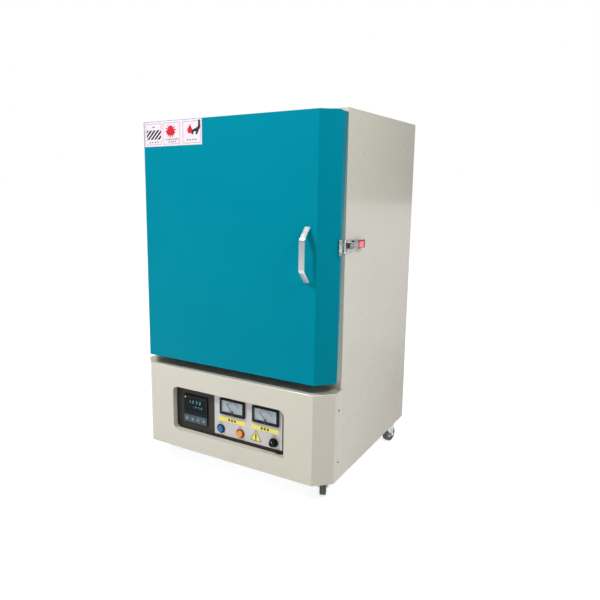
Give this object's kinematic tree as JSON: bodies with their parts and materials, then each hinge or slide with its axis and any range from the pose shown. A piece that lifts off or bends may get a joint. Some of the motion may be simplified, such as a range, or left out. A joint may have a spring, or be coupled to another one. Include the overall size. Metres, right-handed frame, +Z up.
{
  "type": "pottery kiln",
  "caption": "Front-loading electric pottery kiln on casters: hinged door with draw latch over the firing chamber, control box with programmer, meters, buttons and knob.",
  "frame": {"origin": "on the floor, under the middle of the kiln", "axes": "+Z up, -Y towards the door and the control panel, +X to the right side with the latch"},
  "size_m": [0.7286, 0.741, 1.14],
  "materials": {
    "cream_enamel": "satin",
    "teal_enamel": "satin",
    "galvanised_steel": "satin",
    "zinc_plate": "polished",
    "bright_steel": "polished",
    "brushed_aluminium": "satin",
    "silver_plate": "satin",
    "dark_panel": "satin",
    "black_plastic": "matte",
    "grey_key": "matte",
    "display_glass": "gloss",
    "meter_glass": "polished",
    "dial_card": "matte",
    "pointer_black": "matte",
    "blue_lens": "gloss",
    "orange_lens": "gloss",
    "red_grip": "gloss",
    "ceramic_fibre": "matte",
    "hearth_ceramic": "matte",
    "resistance_alloy": "matte",
    "transformer_core": "matte",
    "caster_rubber": "matte"
  },
  "bodies": {
    "cabinet": {"left_side_panel": "cream_enamel", "right_side_panel": "cream_enamel", "top_panel": "cream_enamel", "base_plate": "galvanised_steel", "deck_plate": "galvanised_steel", "rear_panel": "cream_enamel", "rear_junction_box": "cream_enamel", "cable_gland": "black_plastic", "front_frame": "cream_enamel", "control_cover": "cream_enamel", "cabinet_screws": "zinc_plate", "instrument_panel": "dark_panel", "faceplate": "silver_plate", "programmer_case": "black_plastic", "programmer_display": "display_glass", "meter_cases": "black_plastic", "meter_dials": "dial_card", "meter_windows": "meter_glass", "panel_bushes": "black_plastic", "chamber_left": "ceramic_fibre", "chamber_right": "ceramic_fibre", "chamber_roof": "ceramic_fibre", "chamber_floor": "ceramic_fibre", "chamber_back": "ceramic_fibre", "hearth_plate": "hearth_ceramic", "heating_elements": "resistance_alloy", "thermocouple": "hearth_ceramic", "transformer": "transformer_core", "control_gear": "galvanised_steel", "hinge_cabinet_leaves": "zinc_plate", "latch_base": "zinc_plate", "caster_plates": "galvanised_steel"},
    "door": {"door_skin": "teal_enamel", "door_pan": "cream_enamel", "door_plug": "ceramic_fibre", "door_seal": "ceramic_fibre", "door_handle": "brushed_aluminium", "keeper_screws": "zinc_plate", "latch_keeper": "bright_steel", "hinge_door_leaves": "zinc_plate"},
    "latch_lever": {"latch_lever": "zinc_plate", "latch_grip": "red_grip"},
    "latch_bail": {"latch_bail": "bright_steel"},
    "voltmeter_pointer": {"voltmeter_pointer": "pointer_black"},
    "ammeter_pointer": {"ammeter_pointer": "pointer_black"},
    "start_button": {"start_button": "blue_lens"},
    "stop_button": {"stop_button": "orange_lens"},
    "power_knob": {"power_knob": "black_plastic"},
    "key_1": {"key_1": "grey_key"},
    "key_2": {"key_2": "grey_key"},
    "key_3": {"key_3": "grey_key"},
    "key_4": {"key_4": "grey_key"},
    "caster_fork_front_left": {"caster_fork_front_left": "galvanised_steel"},
    "caster_wheel_front_left": {"caster_wheel_front_left": "caster_rubber"},
    "caster_fork_front_right": {"caster_fork_front_right": "galvanised_steel"},
    "caster_wheel_front_right": {"caster_wheel_front_right": "caster_rubber"},
    "caster_fork_rear_left": {"caster_fork_rear_left": "galvanised_steel"},
    "caster_wheel_rear_left": {"caster_wheel_rear_left": "caster_rubber"},
    "caster_fork_rear_right": {"caster_fork_rear_right": "galvanised_steel"},
    "caster_wheel_rear_right": {"caster_wheel_rear_right": "caster_rubber"}
  },
  "joints": [
    {"name": "door_hinge", "type": "hinge", "parent": "cabinet", "child": "door", "pos_m": [-0.358, -0.2665, 0.755], "axis": [0, 0, -1], "range_deg": [0, 120]},
    {"name": "latch_lever_pivot", "type": "hinge", "parent": "cabinet", "child": "latch_lever", "pos_m": [0.356, -0.2295, 0.765], "axis": [0, 0, -1], "range_deg": [0, 100]},
    {"name": "latch_bail_pivot", "type": "hinge", "parent": "latch_lever", "child": "latch_bail", "pos_m": [0.361, -0.2135, 0.765], "axis": [0, 0, 1], "range_deg": [0, 150]},
    {"name": "voltmeter_pointer_pivot", "type": "hinge", "parent": "cabinet", "child": "voltmeter_pointer", "pos_m": [0.016, -0.3209, 0.23], "axis": [0, 1, 0], "range_deg": [0, 90], "stiffness_Nm_per_rad": 0.002},
    {"name": "ammeter_pointer_pivot", "type": "hinge", "parent": "cabinet", "child": "ammeter_pointer", "pos_m": [0.137, -0.3209, 0.23], "axis": [0, 1, 0], "range_deg": [0, 90], "stiffness_Nm_per_rad": 0.002},
    {"name": "start_button_press", "type": "slide", "parent": "cabinet", "child": "start_button", "axis": [0, 1, 0], "range_m": [0, 0.0035], "stiffness_N_per_m": 300},
    {"name": "stop_button_press", "type": "slide", "parent": "cabinet", "child": "stop_button", "axis": [0, 1, 0], "range_m": [0, 0.0035], "stiffness_N_per_m": 300},
    {"name": "power_knob_turn", "type": "hinge", "parent": "cabinet", "child": "power_knob", "pos_m": [0.1665, -0.3255, 0.166], "axis": [0, 1, 0], "range_deg": [0, 270]},
    {"name": "key_1_press", "type": "slide", "parent": "cabinet", "child": "key_1", "axis": [0, 1, 0], "range_m": [0, 0.001], "stiffness_N_per_m": 400},
    {"name": "key_2_press", "type": "slide", "parent": "cabinet", "child": "key_2", "axis": [0, 1, 0], "range_m": [0, 0.001], "stiffness_N_per_m": 400},
    {"name": "key_3_press", "type": "slide", "parent": "cabinet", "child": "key_3", "axis": [0, 1, 0], "range_m": [0, 0.001], "stiffness_N_per_m": 400},
    {"name": "key_4_press", "type": "slide", "parent": "cabinet", "child": "key_4", "axis": [0, 1, 0], "range_m": [0, 0.001], "stiffness_N_per_m": 400},
    {"name": "caster_swivel_front_left", "type": "hinge", "parent": "cabinet", "child": "caster_fork_front_left", "pos_m": [-0.284, -0.2175, 0.0625], "axis": [0, 0, 1], "continuous": true},
    {"name": "caster_roll_front_left", "type": "hinge", "parent": "caster_fork_front_left", "child": "caster_wheel_front_left", "pos_m": [-0.27386, -0.19575, 0.028], "axis": [-0.9063, 0.4226, 0], "continuous": true},
    {"name": "caster_swivel_front_right", "type": "hinge", "parent": "cabinet", "child": "caster_fork_front_right", "pos_m": [0.284, -0.2175, 0.0625], "axis": [0, 0, 1], "continuous": true},
    {"name": "caster_roll_front_right", "type": "hinge", "parent": "caster_fork_front_right", "child": "caster_wheel_front_right", "pos_m": [0.29414, -0.23925, 0.028], "axis": [0.9063, 0.4226, 0], "continuous": true},
    {"name": "caster_swivel_rear_left", "type": "hinge", "parent": "cabinet", "child": "caster_fork_rear_left", "pos_m": [-0.324, 0.2325, 0.0625], "axis": [0, 0, 1], "continuous": true},
    {"name": "caster_roll_rear_left", "type": "hinge", "parent": "caster_fork_rear_left", "child": "caster_wheel_rear_left", "pos_m": [-0.32899, 0.25598, 0.028], "axis": [-0.9781, -0.2079, 0], "continuous": true},
    {"name": "caster_swivel_rear_right", "type": "hinge", "parent": "cabinet", "child": "caster_fork_rear_right", "pos_m": [0.324, 0.2325, 0.0625], "axis": [0, 0, 1], "continuous": true},
    {"name": "caster_roll_rear_right", "type": "hinge", "parent": "caster_fork_rear_right", "child": "caster_wheel_rear_right", "pos_m": [0.32899, 0.25598, 0.028], "axis": [-0.9781, 0.2079, 0], "continuous": true}
  ],
  "couplings": [
    {"joint": "latch_bail_pivot", "follows": "latch_lever_pivot", "ratio": 1.5}
  ]
}
